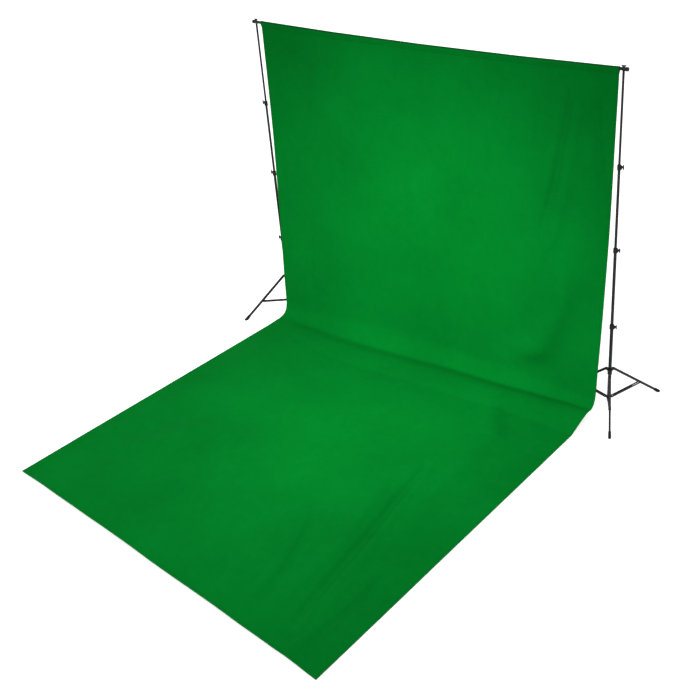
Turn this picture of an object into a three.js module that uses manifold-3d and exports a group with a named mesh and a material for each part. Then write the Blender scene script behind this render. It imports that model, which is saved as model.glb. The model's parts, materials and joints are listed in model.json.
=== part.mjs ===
// Background support system: two telescopic stands, a plug-together crossbar and a long cloth
// backdrop that hangs from the bar and runs forward over the floor.
// Millimetres, +Z up. +X runs along the crossbar, and the cloth runs forward towards -Y.
import * as THREE from 'three';
import { mergeVertices } from 'three/addons/utils/BufferGeometryUtils.js';
import Module from 'manifold-3d';

const wasm = await Module();
wasm.setup();

// ---- Driving dimensions ----
const BAR_HEIGHT = 2500; // crossbar axis at the masts
const MAST_SPACING = 3172;
const BAR_OVERHANG = 34; // bar end, caps included, past each mast axis
const BAR_SAG = 20; // how far the loaded bar's middle hangs below its ends
const BAR_RADIUS = 11;
const BAR_SECTIONS = 4;
const TUBE_WALL = 1.2;
const BASE_RADIUS = 12.5;
const CLAMP_HEIGHTS = [669, 1262, 1858]; // knob axes above the floor
const TUBE_OVERLAP = 60; // length of each riser left inside the tube below it
const BASE_BOTTOM = 48; // lower end of the base tube
const LEG_RADIUS = 440; // foot tip from the mast axis
const UPPER_HINGE = { reach: 20.5, height: 312 }; // reach: pin axis out from the base tube's surface
const LOWER_HINGE = { reach: 11.5, height: 76 };
const BRACE_SHARE = 0.57; // where the brace meets the leg, from the upper hinge
const LEG_WIDTH = 16;
const LEG_DEPTH = 18;
const BRACE_DEPTH = 13;
const CHEEK = 2; // thickness of a brace strip and of a collar ear
const PIN_RADIUS = 2.5;
const STUD_RADIUS = 5;
const STANDS = [
  { side: 'left', sign: -1, legAzimuths: [248, 128, 8] },
  { side: 'right', sign: 1, legAzimuths: [59, 299, 179] },
];
const CLOTH_THICKNESS = 1.5;
const POCKET_SLACK = 4; // pocket radius over the bar's
const BEND_HEIGHT = 190; // where the hanging cloth starts to turn forward
// Each cloth edge: its inset from the mast axis at the bar, at the bend and at the front edge, how far
// forward it hangs at the bend, where it reaches the floor, how high it stays while it turns, and how far
// forward it ends.
const CLOTH_EDGES = {
  left: { topInset: 74, bendInset: 76, frontInset: 66, lean: 70, foot: 190, lift: 8, length: 2969 },
  right: { topInset: 38, bendInset: 30, frontInset: 21, lean: 125, foot: 560, lift: 60, length: 3321 },
};

// ---- Clearances ----
const GAP = 0.3; // between faces that touch or slide
const SIDE_GAP = 0.4; // each side of a leg or lug between its cheeks

// ---- Worked-out sizes ----
const SEGMENTS = 18;
const FINE = 12;
const ARC = 5;
const HALF_MASTS = MAST_SPACING / 2;
const RISERS = ['lower', 'middle', 'upper'];
const TUBE_RADII = ['base', ...RISERS].map((_, i) => BASE_RADIUS - i * (TUBE_WALL + GAP));
const UPPER_HINGE_RADIUS = BASE_RADIUS + UPPER_HINGE.reach;
const LOWER_HINGE_RADIUS = BASE_RADIUS + LOWER_HINGE.reach;
const POCKET_RADIUS = BAR_RADIUS + POCKET_SLACK;
const TUBE_END_DROP = 10; // each tube's top end below its clamp's knob axis
const CHEEK_IN = LEG_WIDTH / 2 + SIDE_GAP;
const CHEEK_OUT = CHEEK_IN + CHEEK;
const LEG_ANGLE = Math.atan2(UPPER_HINGE.height, LEG_RADIUS - UPPER_HINGE_RADIUS);
const LEG_LENGTH = Math.hypot(UPPER_HINGE.height, LEG_RADIUS - UPPER_HINGE_RADIUS);
const JUNCTION = {
  radius: UPPER_HINGE_RADIUS + BRACE_SHARE * (LEG_RADIUS - UPPER_HINGE_RADIUS),
  height: UPPER_HINGE.height * (1 - BRACE_SHARE),
};
const BRACE_RISE = JUNCTION.height - LOWER_HINGE.height;
const BRACE_RUN = JUNCTION.radius - LOWER_HINGE_RADIUS;
const BRACE_LENGTH = Math.hypot(BRACE_RISE, BRACE_RUN);
const BRACE_ANGLE = Math.atan2(BRACE_RISE, BRACE_RUN);

// ---- Materials ----
const finish = (color, roughness, metalness) =>
  new THREE.MeshStandardMaterial({ color, roughness, metalness });
const BLACK_TUBE = finish(0x17181a, 0.38, 0.6);
const BLACK_PLASTIC = finish(0x121314, 0.6, 0);
const BLACK_RUBBER = finish(0x0e0e0f, 0.85, 0);
const BLACK_STEEL = finish(0x161618, 0.45, 0.6);
const BARE_STEEL = finish(0x9a9da0, 0.35, 0.9);
const GREEN_CLOTH = finish(0x00762a, 0.9, 0);

// ---- Solids ----
function toSolid(geometry) {
  const bare = geometry.clone();
  bare.deleteAttribute('normal');
  bare.deleteAttribute('uv');
  const merged = mergeVertices(bare, 1e-5);
  return new wasm.Manifold(new wasm.Mesh({
    numProp: 3,
    vertProperties: new Float32Array(merged.attributes.position.array),
    triVerts: new Uint32Array(merged.index.array),
  }));
}

function toGeometry(solid) {
  const { vertProperties, triVerts } = solid.getMesh();
  const geometry = new THREE.BufferGeometry();
  geometry.setAttribute('position', new THREE.Float32BufferAttribute(vertProperties, 3));
  geometry.setIndex([...triVerts]);
  geometry.computeVertexNormals();
  return geometry;
}

const union = (...geometries) => geometries.map(toSolid).reduce((a, b) => a.add(b));

const cut = (solid, ...geometries) =>
  geometries.map(toSolid).reduce((a, b) => a.subtract(b), solid);

function rod(radius, from, to, segments = FINE) {
  const geometry = new THREE.CylinderGeometry(radius, radius, to - from, segments);
  return geometry.rotateX(Math.PI / 2).translate(0, 0, (from + to) / 2);
}

const rodX = (radius, from, to, segments) => rod(radius, from, to, segments).rotateY(Math.PI / 2);

// A rod along Y that is centred on y = 0
const crossPin = (radius, halfLength) => rod(radius, -halfLength, halfLength).rotateX(Math.PI / 2);

function box(x0, x1, y0, y1, z0, z1) {
  const geometry = new THREE.BoxGeometry(x1 - x0, y1 - y0, z1 - z0);
  return geometry.translate((x0 + x1) / 2, (y0 + y1) / 2, (z0 + z1) / 2);
}

// A turned piece about Z from closed [radius, height] points, listed with the bore first
function turned(points, segments = SEGMENTS) {
  const outline = [...points, points[0]].map(([r, z]) => new THREE.Vector2(r, z));
  return new THREE.LatheGeometry(outline, segments).rotateX(Math.PI / 2);
}

const tube = (outer, inner, from, to) =>
  turned([[inner, to], [inner, from], [outer, from], [outer, to]]);

// A plate with round ends, centred on x = 0 .. length, lying in XZ and centred on y = 0
function strap(length, depth, width, holes = []) {
  const half = depth / 2;
  const shape = new THREE.Shape();
  shape.absarc(0, 0, half, Math.PI / 2, Math.PI * 1.5, false);
  shape.absarc(length, 0, half, -Math.PI / 2, Math.PI / 2, false);
  for (const [x, radius] of holes) {
    const hole = new THREE.Path();
    hole.absarc(x, 0, radius, 0, Math.PI * 2, true);
    shape.holes.push(hole);
  }
  const plate = new THREE.ExtrudeGeometry(shape, { depth: width, bevelEnabled: false, curveSegments: ARC });
  return plate.rotateX(Math.PI / 2).translate(0, width / 2, 0);
}

// A closed skin over rings of points. Each ring lies in a plane of constant x.
function skin(rings) {
  const count = rings[0].length;
  const vertices = rings.flat().flatMap((p) => [p.x, p.y, p.z]);
  const faces = [];
  for (let i = 0; i < rings.length - 1; i += 1) {
    for (let j = 0; j < count; j += 1) {
      const [a, b] = [i * count + j, i * count + ((j + 1) % count)];
      const [c, d] = [a + count, b + count];
      faces.push(a, b, d, a, d, c);
    }
  }
  const flat = rings[0].map((p) => new THREE.Vector2(p.y, p.z));
  const last = (rings.length - 1) * count;
  for (const [a, b, c] of THREE.ShapeUtils.triangulateShape(flat, [])) {
    faces.push(a, c, b, last + a, last + b, last + c);
  }
  const geometry = new THREE.BufferGeometry();
  geometry.setAttribute('position', new THREE.Float32BufferAttribute(vertices, 3));
  geometry.setIndex(faces);
  return geometry;
}

// ---- Assembly helpers ----
const assembly = new THREE.Group();

function add(parent, name, shape, material) {
  const geometry = shape.isBufferGeometry ? shape : toGeometry(shape);
  const mesh = new THREE.Mesh(geometry, material);
  mesh.name = name;
  parent.add(mesh);
  return mesh;
}

function group(parent, x, y, z, turn = 0) {
  const made = new THREE.Group();
  made.position.set(x, y, z);
  made.rotation.z = turn;
  parent.add(made);
  return made;
}

// ---- Stand: tubes ----
const PLUG = { flange: 4, lap: 2, spigot: 12 };
const HEAD_LENGTH = 20; // solid top of the upper riser
const STUD_CLEAR = 14; // stud above the bar

function addBase(stand, side) {
  const [radius] = TUBE_RADII;
  const top = CLAMP_HEIGHTS[0] - TUBE_END_DROP;
  add(stand, `${side}_base_tube`, tube(radius, radius - TUBE_WALL, BASE_BOTTOM, top), BLACK_TUBE);
  const flange = rod(radius, BASE_BOTTOM - PLUG.flange - GAP, BASE_BOTTOM - GAP, SEGMENTS);
  const bore = radius - TUBE_WALL - GAP;
  const spigot = rod(bore, BASE_BOTTOM - PLUG.lap, BASE_BOTTOM + PLUG.spigot, SEGMENTS);
  add(stand, `${side}_bottom_plug`, union(flange, spigot), BLACK_PLASTIC);
}

function addRisers(stand, side) {
  RISERS.forEach((level, i) => {
    const radius = TUBE_RADII[i + 1];
    const from = CLAMP_HEIGHTS[i] - TUBE_END_DROP - TUBE_OVERLAP;
    const isTop = i === TUBE_RADII.length - 2;
    const shoulder = BAR_HEIGHT - BAR_RADIUS - 2 * GAP;
    const to = isTop ? shoulder - 2 : CLAMP_HEIGHTS[i + 1] - TUBE_END_DROP;
    const barrel = tube(radius, radius - TUBE_WALL, from, to);
    if (!isTop) {
      add(stand, `${side}_${level}_riser`, barrel, BLACK_TUBE);
      return;
    }
    const head = rod(radius, to - HEAD_LENGTH, shoulder, SEGMENTS);
    const stud = rod(STUD_RADIUS, shoulder - 1, BAR_HEIGHT + BAR_RADIUS + STUD_CLEAR);
    add(stand, `${side}_${level}_riser`, union(barrel, head, stud), BLACK_TUBE);
  });
}

// ---- Stand: clamps and knobs ----
const CLAMP_TOP = 14;
const CLAMP_BOTTOM = -24;
const BOSS_RADIUS = 7;
const CLAMP_WALL = { top: 3.5, band: 4.5 };
const SCREW_RADIUS = 3;
const KNOB = { hubRadius: 7.5, hubLength: 9, wingFrom: 5, wingDepth: 7, wingReach: 12, wingRadius: 5 };
const bossEnd = (tubeRadius) => tubeRadius + 13;

function clampBody(lower, upper) {
  const step = -TUBE_END_DROP + GAP;
  const body = turned([
    [upper + GAP, CLAMP_TOP], [upper + GAP, step], [lower + GAP, step], [lower + GAP, CLAMP_BOTTOM],
    [lower + CLAMP_WALL.top, CLAMP_BOTTOM], [lower + CLAMP_WALL.band, CLAMP_BOTTOM + 3],
    [lower + CLAMP_WALL.band, CLAMP_TOP - 5], [upper + CLAMP_WALL.top, CLAMP_TOP],
  ]);
  const boss = rodX(BOSS_RADIUS, upper + 2, bossEnd(lower));
  const screwHole = rodX(SCREW_RADIUS + GAP, 0, bossEnd(lower) + 1);
  return cut(union(body, boss), screwHole);
}

// A thumb knob along +X whose screw tip stops just short of the tube it presses on
function knob(tubeRadius, headFrom) {
  const shaft = rodX(SCREW_RADIUS, tubeRadius + GAP, headFrom + 2);
  const hub = rodX(KNOB.hubRadius, headFrom, headFrom + KNOB.hubLength);
  const outline = new THREE.Shape();
  outline.absarc(KNOB.wingReach, 0, KNOB.wingRadius, -Math.PI / 2, Math.PI / 2, false);
  outline.absarc(-KNOB.wingReach, 0, KNOB.wingRadius, Math.PI / 2, Math.PI * 1.5, false);
  const options = { depth: KNOB.wingDepth, bevelEnabled: false, curveSegments: ARC };
  const wing = new THREE.ExtrudeGeometry(outline, options);
  wing.rotateY(Math.PI / 2).translate(headFrom + KNOB.wingFrom, 0, 0);
  return union(shaft, hub, wing);
}

function addClamps(stand, side, outward) {
  RISERS.forEach((level, i) => {
    const [lower, upper] = [TUBE_RADII[i], TUBE_RADII[i + 1]];
    const seat = group(stand, 0, 0, CLAMP_HEIGHTS[i], outward);
    add(seat, `${side}_${level}_clamp`, clampBody(lower, upper), BLACK_PLASTIC);
    add(seat, `${side}_${level}_knob`, knob(upper, bossEnd(lower) + GAP), BLACK_PLASTIC);
  });
}

// ---- Stand: collars, legs and braces ----
const LUG_DEPTH = 12;
const LOWER_RING = { wall: 4, half: 12 };
const PIN_HEAD = { half: 3.5, height: 1.4 };

// One lug between two brace strips, with its pin and pin heads
function lowerLug() {
  const radius = LOWER_HINGE_RADIUS;
  const web = box(TUBE_RADII[0] + 1.5, radius, -LEG_WIDTH / 2, LEG_WIDTH / 2, -LUG_DEPTH / 2, LUG_DEPTH / 2);
  const nose = strap(0.01, LUG_DEPTH, LEG_WIDTH).translate(radius, 0, 0);
  const pin = crossPin(PIN_RADIUS, CHEEK_OUT + GAP + 1).translate(radius, 0, 0);
  const { half, height } = PIN_HEAD;
  const heads = [-1, 1].map((s) => {
    const head = box(radius - half, radius + half, -height / 2, height / 2, -half, half);
    return head.translate(0, s * (CHEEK_OUT + GAP + height / 2), 0);
  });
  return union(web, nose, pin, ...heads);
}

function addLowerCollar(stand, side, azimuths) {
  const bore = TUBE_RADII[0] + GAP;
  const ring = tube(TUBE_RADII[0] + LOWER_RING.wall, bore, -LOWER_RING.half, LOWER_RING.half);
  const whole = azimuths.reduce((solid, azimuth) => {
    const lug = lowerLug().rotate([0, 0, azimuth]);
    return solid.add(lug);
  }, toSolid(ring));
  const seat = group(stand, 0, 0, LOWER_HINGE.height);
  add(seat, `${side}_lower_collar`, cut(whole, rod(bore, -20, 20, SEGMENTS)), BLACK_PLASTIC);
}

const EAR_DEPTH = 15;

// Two ears that hold a leg's eye between them on a pin
function upperClevis() {
  const radius = UPPER_HINGE_RADIUS;
  const ears = [-1, 1].map((s) => {
    const y = s * (CHEEK_IN + CHEEK_OUT) / 2;
    const from = TUBE_RADII[0] + 2;
    return strap(radius - from, EAR_DEPTH, CHEEK).translate(from, y, 0);
  });
  const pin = crossPin(PIN_RADIUS, CHEEK_OUT + 1.5).translate(radius, 0, 0);
  return union(...ears, pin);
}

const COLLAR = { top: 8, bottom: -40, neck: -10, wall: 4, headWall: 9.5, knobDrop: -24 };

function addUpperCollar(stand, side, azimuths, outward) {
  const bore = TUBE_RADII[0] + GAP;
  const body = turned([
    [bore, COLLAR.top], [bore, COLLAR.bottom], [bore + COLLAR.wall, COLLAR.bottom],
    [bore + COLLAR.wall, COLLAR.neck], [bore + COLLAR.headWall, COLLAR.neck + 4],
    [bore + COLLAR.headWall, COLLAR.top],
  ]);
  const boss = rodX(BOSS_RADIUS, bore + 1, bossEnd(TUBE_RADII[0]));
  const screwHole = rodX(SCREW_RADIUS + GAP, 0, bossEnd(TUBE_RADII[0]) + 1);
  const turn = new THREE.Matrix4().makeRotationZ(outward).setPosition(0, 0, COLLAR.knobDrop);
  const whole = azimuths.reduce(
    (solid, azimuth) => solid.add(upperClevis().rotate([0, 0, azimuth])),
    union(body, boss.applyMatrix4(turn)),
  );
  const seat = group(stand, 0, 0, UPPER_HINGE.height);
  const collar = cut(whole, rod(bore, -60, 60, SEGMENTS), screwHole.applyMatrix4(turn));
  add(seat, `${side}_upper_collar`, collar, BLACK_PLASTIC);
  const knobSeat = group(seat, 0, 0, COLLAR.knobDrop, outward);
  add(knobSeat, `${side}_collar_knob`, knob(TUBE_RADII[0], bossEnd(TUBE_RADII[0]) + GAP), BLACK_PLASTIC);
}

const FOOT_LENGTH = 52;
const FOOT_WALL = 2;
const SOLE = 4; // rubber left under the leg's end

function legBar(extra = 0) {
  const reach = LEG_LENGTH - (LEG_DEPTH / 2) * Math.tan(Math.PI / 2 - LEG_ANGLE) - SOLE;
  const bar = strap(reach, LEG_DEPTH + 2 * extra, LEG_WIDTH + 2 * extra);
  const keep = box(-20, reach - LEG_DEPTH / 2 + extra, -20, 20, -30, 30);
  return toSolid(bar).intersect(toSolid(keep));
}

function addLegs(stand, side, azimuths) {
  const down = THREE.MathUtils.radToDeg(LEG_ANGLE);
  azimuths.forEach((azimuth, i) => {
    const spoke = group(stand, 0, 0, 0, THREE.MathUtils.degToRad(azimuth));
    const hinge = [UPPER_HINGE_RADIUS, 0, UPPER_HINGE.height];
    const eye = crossPin(PIN_RADIUS + GAP, LEG_WIDTH);
    const bar = cut(legBar(), eye).rotate([0, down, 0]).translate(hinge);
    add(spoke, `${side}_leg_${i + 1}`, bar, BLACK_TUBE);

    const depth = LEG_DEPTH / 2 + GAP + FOOT_WALL;
    const width = LEG_WIDTH / 2 + GAP + FOOT_WALL;
    const block = box(LEG_LENGTH - FOOT_LENGTH, LEG_LENGTH + 20, -width, width, -depth, depth);
    const boot = toSolid(block).subtract(legBar(GAP)).rotate([0, down, 0]).translate(hinge);
    const above = toSolid(box(0, LEG_RADIUS + 60, -30, 30, 0, 200));
    const reach = toSolid(box(0, LEG_RADIUS + 14, -30, 30, -1, 200));
    add(spoke, `${side}_foot_${i + 1}`, boot.intersect(above).intersect(reach), BLACK_RUBBER);
  });
}

const WEB = { from: 14, clear: 66, thickness: 3 }; // clear: left open for the leg at the outer end
const RIVET = { radius: 4, proud: 1.4 };

// Two strips joined by a web. They straddle the leg at the outer end.
function brace() {
  const strips = [-1, 1].map((s) => {
    const strip = strap(BRACE_LENGTH, BRACE_DEPTH, CHEEK, [[0, PIN_RADIUS + GAP]]);
    return strip.translate(0, s * (CHEEK_IN + CHEEK_OUT) / 2, 0);
  });
  const across = CHEEK_OUT - 1;
  const half = WEB.thickness / 2;
  const web = box(WEB.from, BRACE_LENGTH - WEB.clear, -across, across, -half, half);
  const rivets = [-1, 1].map((s) => {
    const from = LEG_WIDTH / 2 + GAP;
    const stub = rod(RIVET.radius, from, CHEEK_OUT + RIVET.proud).rotateX(-s * Math.PI / 2);
    return stub.translate(BRACE_LENGTH, 0, 0);
  });
  return union(...strips, web, ...rivets);
}

function addBraces(stand, side, azimuths) {
  azimuths.forEach((azimuth, i) => {
    const spoke = group(stand, 0, 0, 0, THREE.MathUtils.degToRad(azimuth));
    const mesh = add(spoke, `${side}_brace_${i + 1}`, brace(), BLACK_TUBE);
    mesh.position.set(LOWER_HINGE_RADIUS, 0, LOWER_HINGE.height);
    mesh.rotation.y = -BRACE_ANGLE;
  });
}

// ---- Stand: wing nut on the stud ----
const NUT = { radius: 10, topRadius: 8, height: 9 };
const NUT_WING = { length: 8, depth: 9, width: 3, seat: [7.5, 0, 5.5] };

function addWingNut(stand, side) {
  const seat = group(stand, 0, 0, BAR_HEIGHT + BAR_RADIUS + 2 * GAP);
  const bore = STUD_RADIUS + GAP;
  const hub = turned([[bore, NUT.height], [bore, 0], [NUT.radius, 0], [NUT.topRadius, NUT.height]], FINE);
  const wings = [-1, 1].map((s) => {
    const plate = strap(NUT_WING.length, NUT_WING.depth, NUT_WING.width);
    const blade = plate.rotateY(-Math.PI / 4).translate(...NUT_WING.seat);
    return s > 0 ? blade : blade.rotateZ(Math.PI);
  });
  const nut = cut(union(hub, ...wings), rod(bore, -1, 2 * NUT.height));
  add(seat, `${side}_wing_nut`, nut, BLACK_STEEL);
}

function addStand({ side, sign, legAzimuths }) {
  const stand = group(assembly, sign * HALF_MASTS, 0, 0);
  const outward = sign > 0 ? 0 : Math.PI;
  const legBisector = THREE.MathUtils.degToRad(legAzimuths[0] + 60);
  addBase(stand, side);
  addRisers(stand, side);
  addClamps(stand, side, outward);
  addLowerCollar(stand, side, legAzimuths);
  addUpperCollar(stand, side, legAzimuths, legBisector);
  addLegs(stand, side, legAzimuths);
  addBraces(stand, side, legAzimuths);
  addWingNut(stand, side);
}

// ---- Crossbar ----
const SPIGOT = { length: 50, radius: BAR_RADIUS - TUBE_WALL - 0.8, wall: 1.2 };
const SPIGOT_ROOT = { ferrule: 20, lap: 10, thickness: 0.5 };
const BUTTON = { at: 25, radius: 2.4, proud: 1.5, flange: 3.8 };
const CAP = { length: 18, wall: 2, end: 3 };
const BAR_TUBE_HALF = HALF_MASTS + BAR_OVERHANG - CAP.end;

const jointX = (i) => -BAR_TUBE_HALF + (2 * BAR_TUBE_HALF * i) / BAR_SECTIONS;

// Height of the bar's axis: straight sections whose joints lie on a shallow sag
function barHeight(x) {
  const place = ((x + BAR_TUBE_HALF) / (2 * BAR_TUBE_HALF)) * BAR_SECTIONS;
  const i = THREE.MathUtils.clamp(Math.floor(place), 0, BAR_SECTIONS - 1);
  const [z0, z1] = [i, i + 1].map((k) => BAR_HEIGHT - BAR_SAG * (1 - (jointX(k) / HALF_MASTS) ** 2));
  return z0 + (z1 - z0) * (place - i);
}

function addCrossbar() {
  for (let i = 0; i < BAR_SECTIONS; i += 1) {
    const [x0, x1] = [jointX(i), jointX(i + 1)];
    const [z0, z1] = [barHeight(x0), barHeight(x1)];
    const length = Math.hypot(x1 - x0, z1 - z0);
    const isFirst = i === 0;
    const isLast = i === BAR_SECTIONS - 1;
    const slope = Math.atan2(z1 - z0, x1 - x0);
    const bar = group(assembly, x0, 0, z0);
    bar.rotation.y = -slope;

    const inner = BAR_RADIUS - TUBE_WALL;
    const end = isLast ? length : length - GAP;
    const parts = [tube(BAR_RADIUS, inner, 0, end).rotateY(Math.PI / 2)];
    const holes = [];
    if (!isLast) {
      const bore = SPIGOT.radius - SPIGOT.wall;
      const { ferrule, lap, thickness } = SPIGOT_ROOT;
      parts.push(tube(inner + thickness, bore, end - ferrule, end).rotateY(Math.PI / 2));
      parts.push(tube(SPIGOT.radius, bore, end - lap, end + SPIGOT.length).rotateY(Math.PI / 2));
      const socket = rod(BUTTON.radius + GAP, 0, 2 * BAR_RADIUS).rotateX(-Math.PI / 2);
      holes.push(socket.translate(length + BUTTON.at, 0, 0));
      addButton(bar, i + 1, length + BUTTON.at);
    }
    if (!isFirst) {
      const window = rod(BUTTON.radius + 3 * GAP, 0, 2 * BAR_RADIUS).rotateX(-Math.PI / 2);
      holes.push(window.translate(BUTTON.at, 0, 0));
    }
    if (isFirst || isLast) {
      const atStud = isFirst ? BAR_TUBE_HALF - HALF_MASTS : length - (BAR_TUBE_HALF - HALF_MASTS);
      holes.push(rod(STUD_RADIUS + 3 * GAP, -2 * BAR_RADIUS, 2 * BAR_RADIUS).translate(atStud, 0, 0));
      addCap(bar, isFirst, isFirst ? 0 : length);
    }
    add(bar, `crossbar_section_${i + 1}`, cut(union(...parts), ...holes), BLACK_TUBE);
  }
}

// A spring button that locks a section's spigot in the next section, towards the back
function addButton(bar, number, x) {
  const pin = rod(BUTTON.radius, 4, BAR_RADIUS + BUTTON.proud).rotateX(-Math.PI / 2);
  const flange = rod(BUTTON.flange, 3, 4.6).rotateX(-Math.PI / 2);
  add(bar, `snap_button_${number}`, union(pin, flange).translate([x, 0, 0]), BARE_STEEL);
}

function addCap(bar, isFirst, x) {
  const [bore, outer] = [BAR_RADIUS + GAP, BAR_RADIUS + GAP + CAP.wall];
  const cup = turned([
    [0, CAP.end], [0, GAP], [bore, GAP], [bore, GAP - CAP.length],
    [outer, GAP - CAP.length], [outer, CAP.end - 1], [outer - 1, CAP.end],
  ]);
  const turn = isFirst ? -Math.PI / 2 : Math.PI / 2;
  const name = isFirst ? 'left_bar_cap' : 'right_bar_cap';
  add(bar, name, cup.rotateY(turn).translate(x, 0, 0), BLACK_PLASTIC);
}

// ---- Backdrop cloth ----
const mix = THREE.MathUtils.lerp;
// A cloth edge's x at the given inset
const edgeX = {
  left: (inset) => -HALF_MASTS + CLOTH_EDGES.left[inset],
  right: (inset) => HALF_MASTS - CLOTH_EDGES.right[inset],
};
const CLOTH_ENDS = [edgeX.left('topInset'), edgeX.right('topInset')];
const BAR_JOINTS = Array.from({ length: BAR_SECTIONS - 1 }, (_, i) => jointX(i + 1));
const CLOTH_STATIONS = [CLOTH_ENDS[0], ...BAR_JOINTS, CLOTH_ENDS[1]];
const clothShare = (x) => (x - CLOTH_ENDS[0]) / (CLOTH_ENDS[1] - CLOTH_ENDS[0]);
const pocketDrop = POCKET_RADIUS - CLOTH_THICKNESS - BAR_RADIUS - GAP;

function addPocket() {
  const ring = (radius, x) => Array.from({ length: FINE }, (_, k) => {
    const a = (2 * Math.PI * k) / FINE;
    const z = barHeight(x) - pocketDrop;
    return new THREE.Vector3(x, radius * Math.cos(a), z + radius * Math.sin(a));
  });
  const sleeve = (radius, spare) => skin(CLOTH_STATIONS.map((x, i) => {
    const ends = { 0: -spare, [CLOTH_STATIONS.length - 1]: spare };
    return ring(radius, x + (ends[i] ?? 0));
  }));
  const outer = POCKET_RADIUS / Math.cos(Math.PI / FINE);
  const pocket = cut(toSolid(sleeve(outer, 0)), sleeve(outer - CLOTH_THICKNESS, 5));
  add(assembly, 'backdrop_pocket', pocket, GREEN_CLOTH);
}

// The middle line of the cloth below the pocket, at a share of the width from left to right
function dropPath(x, share) {
  const side = (key) => mix(CLOTH_EDGES.left[key], CLOTH_EDGES.right[key], share);
  const [lean, foot, lift] = ['lean', 'foot', 'lift'].map(side);
  const bendX = mix(edgeX.left('bendInset'), edgeX.right('bendInset'), share);
  const half = CLOTH_THICKNESS / 2;
  const top = barHeight(x) - pocketDrop - POCKET_RADIUS - half - GAP;
  const bend = BEND_HEIGHT;
  const sweep = new THREE.CubicBezierCurve3(
    new THREE.Vector3(bendX, -lean, bend),
    new THREE.Vector3(bendX, -lean - 5, bend * 0.15),
    new THREE.Vector3(bendX, -mix(lean, foot, 0.35), lift),
    new THREE.Vector3(bendX, -foot, half),
  );
  return [new THREE.Vector3(x, 0, top), ...sweep.getPoints(10)];
}

// Rings round the cloth's thickness, each in its own plane of constant x at the bar
function clothRing(path) {
  const offset = (side) => path.map((p, i) => {
    const [a, b] = [path[Math.max(i - 1, 0)], path[Math.min(i + 1, path.length - 1)]];
    const along = new THREE.Vector2(b.y - a.y, b.z - a.z).normalize();
    const half = (side * CLOTH_THICKNESS) / 2;
    const isFoot = i === path.length - 1;
    const across = isFoot ? new THREE.Vector2(0, 1) : new THREE.Vector2(along.y, -along.x);
    return new THREE.Vector3(p.x, p.y + across.x * half, p.z + across.y * half);
  });
  return [...offset(1), ...offset(-1).reverse()];
}

function addDrop() {
  const rings = CLOTH_STATIONS.map((x) => clothRing(dropPath(x, clothShare(x))));
  add(assembly, 'backdrop_drop', skin(rings), GREEN_CLOTH);
}

function addFloorCloth() {
  const { left, right } = CLOTH_EDGES;
  const outline = new THREE.Shape([
    new THREE.Vector2(edgeX.left('bendInset'), -left.foot - GAP),
    new THREE.Vector2(edgeX.left('frontInset'), -left.length),
    new THREE.Vector2(edgeX.right('frontInset'), -right.length),
    new THREE.Vector2(edgeX.right('bendInset'), -right.foot - GAP),
  ]);
  const sheet = new THREE.ExtrudeGeometry(outline, { depth: CLOTH_THICKNESS, bevelEnabled: false });
  add(assembly, 'backdrop_floor', sheet, GREEN_CLOTH);
}

// ---- Whole object, with its origin at the middle of its base ----
STANDS.forEach(addStand);
addCrossbar();
addPocket();
addDrop();
addFloorCloth();

const bounds = new THREE.Box3().setFromObject(assembly, true);
const middle = bounds.getCenter(new THREE.Vector3());
assembly.position.set(-middle.x, -middle.y, -bounds.min.z);
const backgroundSupport = new THREE.Group();
backgroundSupport.add(assembly);

export default backgroundSupport;
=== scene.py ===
"""Looks of the background support system: two stands, a crossbar and a long green cloth.

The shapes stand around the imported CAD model, in its frame. Mechanical pieces are drawn in
millimetres in a frame of their own and put in place from the model. The cloth is in metres.
"""

import json
import math

import bmesh
import bpy
import numpy as np
from mathutils import Matrix, Vector, geometry, noise


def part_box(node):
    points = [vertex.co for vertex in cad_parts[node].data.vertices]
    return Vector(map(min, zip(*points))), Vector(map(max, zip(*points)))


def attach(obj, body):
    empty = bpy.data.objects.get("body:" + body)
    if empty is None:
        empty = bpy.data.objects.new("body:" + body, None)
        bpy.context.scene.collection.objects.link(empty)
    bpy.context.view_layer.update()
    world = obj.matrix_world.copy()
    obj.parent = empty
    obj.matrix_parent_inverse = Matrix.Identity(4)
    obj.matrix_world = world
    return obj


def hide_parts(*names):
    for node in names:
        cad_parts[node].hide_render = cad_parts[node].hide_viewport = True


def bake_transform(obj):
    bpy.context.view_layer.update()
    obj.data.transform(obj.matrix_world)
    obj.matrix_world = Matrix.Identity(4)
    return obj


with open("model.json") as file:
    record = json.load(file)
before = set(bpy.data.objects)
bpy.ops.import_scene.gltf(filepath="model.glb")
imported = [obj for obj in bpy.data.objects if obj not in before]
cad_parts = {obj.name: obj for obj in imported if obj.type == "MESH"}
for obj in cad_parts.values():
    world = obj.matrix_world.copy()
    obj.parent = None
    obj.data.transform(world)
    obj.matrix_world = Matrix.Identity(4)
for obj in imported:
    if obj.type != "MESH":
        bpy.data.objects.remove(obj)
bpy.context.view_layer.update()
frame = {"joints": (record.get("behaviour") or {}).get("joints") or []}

MM = 0.001
JOINTS = {joint["name"]: joint for joint in frame["joints"]}
SIDES = ("left", "right")
RISERS = ("lower", "middle", "upper")

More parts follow.
